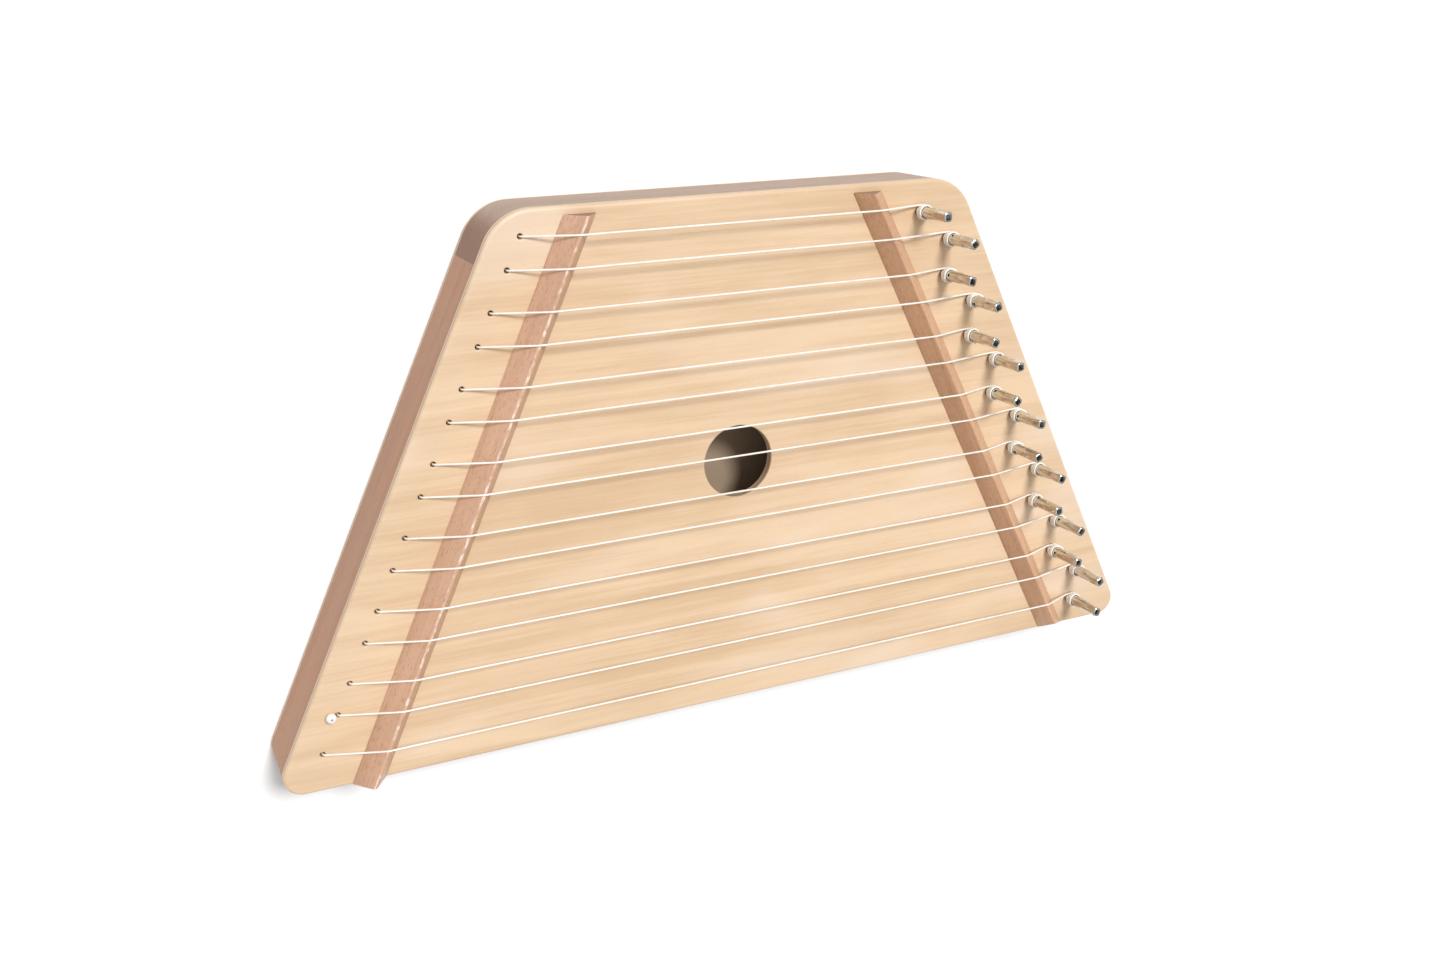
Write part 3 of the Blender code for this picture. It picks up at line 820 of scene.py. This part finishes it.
def cordMesh(name, points, look):
    curve = bpy.data.curves.new(name + "Path", "CURVE")
    curve.dimensions = "3D"
    curve.bevel_depth = look["radius"]
    curve.bevel_resolution = look["rounds"]
    curve.use_fill_caps = True
    line = curve.splines.new("POLY")
    line.points.add(len(points) - 1)
    for spot, point in zip(line.points, points):
        spot.co = (*point, 1)
    holder = bpy.data.objects.new(name + "Path", curve)
    scene.collection.objects.link(holder)
    raw = baked(holder)
    bpy.data.objects.remove(holder)
    bpy.data.curves.remove(curve)
    form = bmesh.new()
    form.from_mesh(raw)
    bpy.data.meshes.remove(raw)
    bmesh.ops.remove_doubles(form, verts=form.verts, dist=weld)
    return toMesh(form, name, look["sharp"])


def clamp(value, limit):
    return max(-limit, min(limit, value))


def pinLevels(look):  # (radius, height, half the width over the flats)
    radius, flat, top = look["radius"], look["flat"], look["stand"]
    head = top - look["headLength"]
    levels = [(look["footRadius"], -look["sink"], radius),
              (radius, look["footBevel"] - look["sink"], radius),
              (radius, head - look["shoulder"], radius)]
    for step in range(1, look["shoulderSteps"] + 1):
        share = step / look["shoulderSteps"]
        half = radius + (flat - radius) * math.sin(share * math.pi / 2)
        levels.append((radius, head - look["shoulder"] * (1 - share), half))
    for inwards, up in quarter(look["domeSteps"]):
        left = 1 - look["domeInset"] * inwards
        levels.append((radius * left, top - look["dome"] * (1 - up), flat * left))
    return levels


def pinMesh(look):
    loops = []
    for radius, height, half in pinLevels(look):
        loops.append([(clamp(x, half), clamp(y, half), z)
                      for x, y, z in circle((0, 0), radius, height, look["sides"])])
    form = newForm()
    for ends in raiseLoops(form, loops):
        bmesh.ops.edgeloop_fill(form, edges=ends)
    blank = bpy.data.objects.new("pinBlank", toMesh(form, "pinBlank", look["sharp"]))
    form = bmesh.new()
    across = (Matrix.Translation((0, 0, look["eyeHeight"]))
              @ Matrix.Rotation(math.pi / 2, 4, "X"))
    bmesh.ops.create_cone(form, cap_ends=True, segments=look["eyeSides"],
                          radius1=look["eyeRadius"], radius2=look["eyeRadius"],
                          depth=4 * look["radius"], matrix=across)
    drill = bpy.data.objects.new("pinDrill", toMesh(form, "pinDrill", look["sharp"]))
    for thing in (blank, drill):
        scene.collection.objects.link(thing)
    cut = blank.modifiers.new("eye", "BOOLEAN")
    cut.operation = "DIFFERENCE"
    cut.solver = "EXACT"
    cut.object = drill
    data = baked(blank)
    for thing in (blank, drill):
        mesh = thing.data
        bpy.data.objects.remove(thing)
        bpy.data.meshes.remove(mesh)
    soften(data, look["sharp"])
    return data


def windingPath(index, look):  # the turns above the string's own, then the tail into the eye
    x, y = pinPlace(index)
    eyeTurn = index * pinLook["turn"] + math.pi / 2
    mouth = min((eyeTurn, eyeTurn + math.pi),
                key=lambda angle: math.cos(angle - look["eyeSide"]))
    last = look["startAngle"] - math.tau * look["turns"]
    climb = (last - mouth) % math.tau
    if climb < look["leastClimb"]:
        climb += math.tau
    stops = []  # (distance from the pin's axis, angle, height above the soundboard)
    steps = int(look["stepsPerTurn"] * look["turns"])
    for step in range(steps + 1):
        share = step / steps
        angle = look["startAngle"] - math.tau * look["turns"] * share
        rise = (look["turnEnd"] - look["turnStart"]) * share
        stops.append((look["middle"], angle, look["turnStart"] + rise))
    steps = int(look["stepsPerTurn"] * climb / math.tau)
    level = max(0.0, climb - look["rampTurn"]) / climb
    for step in range(1, steps - 1):
        share = step / steps
        up = max(0.0, (share - level) / (1 - level))
        up = up * up * (3 - 2 * up)
        height = look["turnEnd"] + (pinLook["eyeHeight"] - look["turnEnd"]) * up
        stops.append((look["middle"] - look["climbIn"] * up, last - climb * share, height))
    for reach, lag in look["intoEye"]:
        stops.append((reach, mouth + math.radians(lag), pinLook["eyeHeight"]))
    return [(x + reach * math.cos(angle), y + reach * math.sin(angle), boardTop + height)
            for reach, angle, height in stops]


def makePins(look):
    master = pinMesh(look)
    for index in range(stringLook["count"]):
        x, y = pinPlace(index)
        number = f"{index + 1:02d}"
        turn = Matrix.Rotation(index * look["turn"], 4, "Z")
        data = master.copy()
        data.transform(Matrix.Translation((x, y, boardTop)) @ turn)
        place("tuningPin" + number, data, pinNickel,
              "tuning_pin_" + number, "pin_" + number)
        data = cordMesh("winding" + number, windingPath(index, windingLook), stringLook)
        place("winding" + number, data, stringNylon,
              "string_winding_" + number, "pin_" + number)
    bpy.data.meshes.remove(master)


def knotPath(x, y, look):  # the tail, an open trefoil and the way up to the soundboard
    scale, height = look["knotScale"], look["knotHeight"]
    shiftX, shiftY = look["tailShift"]
    points = [(x + shiftX, y + shiftY, height - scale - look["tail"])]
    for step in range(look["knotSteps"] + 1):
        angle = math.radians(look["knotStart"] + look["knotSpan"] * step / look["knotSteps"])
        points.append((x + scale * (math.sin(angle) + 2 * math.sin(2 * angle)),
                       y + scale * (math.cos(angle) - 2 * math.cos(2 * angle)),
                       height - scale * math.sin(3 * angle)))
    points.append((x, y, height + look["knotNeck"]))
    return points + [(x, y, level) for level in look["riser"]]


def stringPath(index, look):
    x, y, level = holeX(index), stringY(index), look["level"]
    points = knotPath(x, y, look)
    points += [(x + along, y, boardTop + above) for along, above in look["bend"]]
    startX, startZ = x + look["bendEnd"][0], boardTop + look["bendEnd"][1]
    hitchCrest, pinCrest = crestX(y, hitchBridge), crestX(y, pinBridge)
    reach = hitchCrest - look["climbShort"] - startX
    for share in look["climbShares"]:
        points.append((startX + reach * share, y, startZ + (level - startZ) * share))
    points += [(hitchCrest + along, y, level + above) for along, above in look["ontoCrest"]]
    span, steps = pinCrest - hitchCrest, look["spanSteps"]
    points += [(hitchCrest + span * step / steps, y, level) for step in range(1, steps)]
    pinX, pinY = pinPlace(index)
    low = boardTop + windingLook["low"]
    landing = pinX - look["landing"]
    fall = (level - low) / (landing - pinCrest - look["fallStart"])
    leave, bend = look["offCrest"]
    points += [(pinCrest + leave, y, level),
               (pinCrest + bend, y, level - fall * look["offDrop"])]
    for share in look["fallShares"]:
        across = pinCrest + bend + (landing - pinCrest - bend) * share
        points.append((across, y, level - fall * (across - pinCrest - look["fallLag"])))
    points += [(landing, y, low + look["landingRise"]), (pinX - look["beside"], y, low)]
    middle, steps = windingLook["middle"], look["wrapSteps"]
    for step in range(steps + 1):
        angle = math.pi / 2 - windingLook["wrap"] * step / steps
        points.append((pinX + middle * math.cos(angle), pinY + middle * math.sin(angle), low))
    return points


def makeStrings(look):
    for index in range(look["count"]):
        number = f"{index + 1:02d}"
        data = cordMesh("nylonString" + number, stringPath(index, look), look)
        place("nylonString" + number, data, stringNylon,
              "string_" + number, "harp_body")


makePins(pinLook)
makeStrings(stringLook)
print("pins and strings ready")

beadShape = {
    "string": 13, "gap": 0.7 * mm, "lift": 0.05 * mm,
    "radius": 2.2 * mm, "half": 1.8 * mm, "fullness": 0.8,
    "bore": 0.5 * mm, "lip": 0.15 * mm, "lipRise": 0.12 * mm,
    "sides": 40, "steps": 14, "sharp": 40,
}


def makeBead(look):
    x = holeX(look["string"]) - look["gap"] - look["radius"]
    y = stringY(look["string"])
    middle = boardTop + look["lift"] + look["half"]
    half, hole = look["half"], look["bore"]
    levels = [(hole, middle - half + look["lipRise"])]
    for step in range(1, look["steps"]):
        angle = math.pi * (step / look["steps"] - 0.5)
        wide = look["radius"] * math.cos(angle) ** look["fullness"]
        levels.append((max(hole + look["lip"], wide), middle + half * math.sin(angle)))
    levels += [(hole, middle + half - look["lipRise"]), levels[0]]  # and back through the bore
    form = newForm()
    raiseLoops(form, [circle((x, y), radius, height, look["sides"])
                      for radius, height in levels])
    bmesh.ops.remove_doubles(form, verts=form.verts, dist=weld)
    data = toMesh(form, "hitchBead", look["sharp"])
    place("hitchBead", data, beadWhite, "string_end_bead", "harp_body")


makeBead(beadShape)
print("bead ready")

bpy.context.view_layer.update()
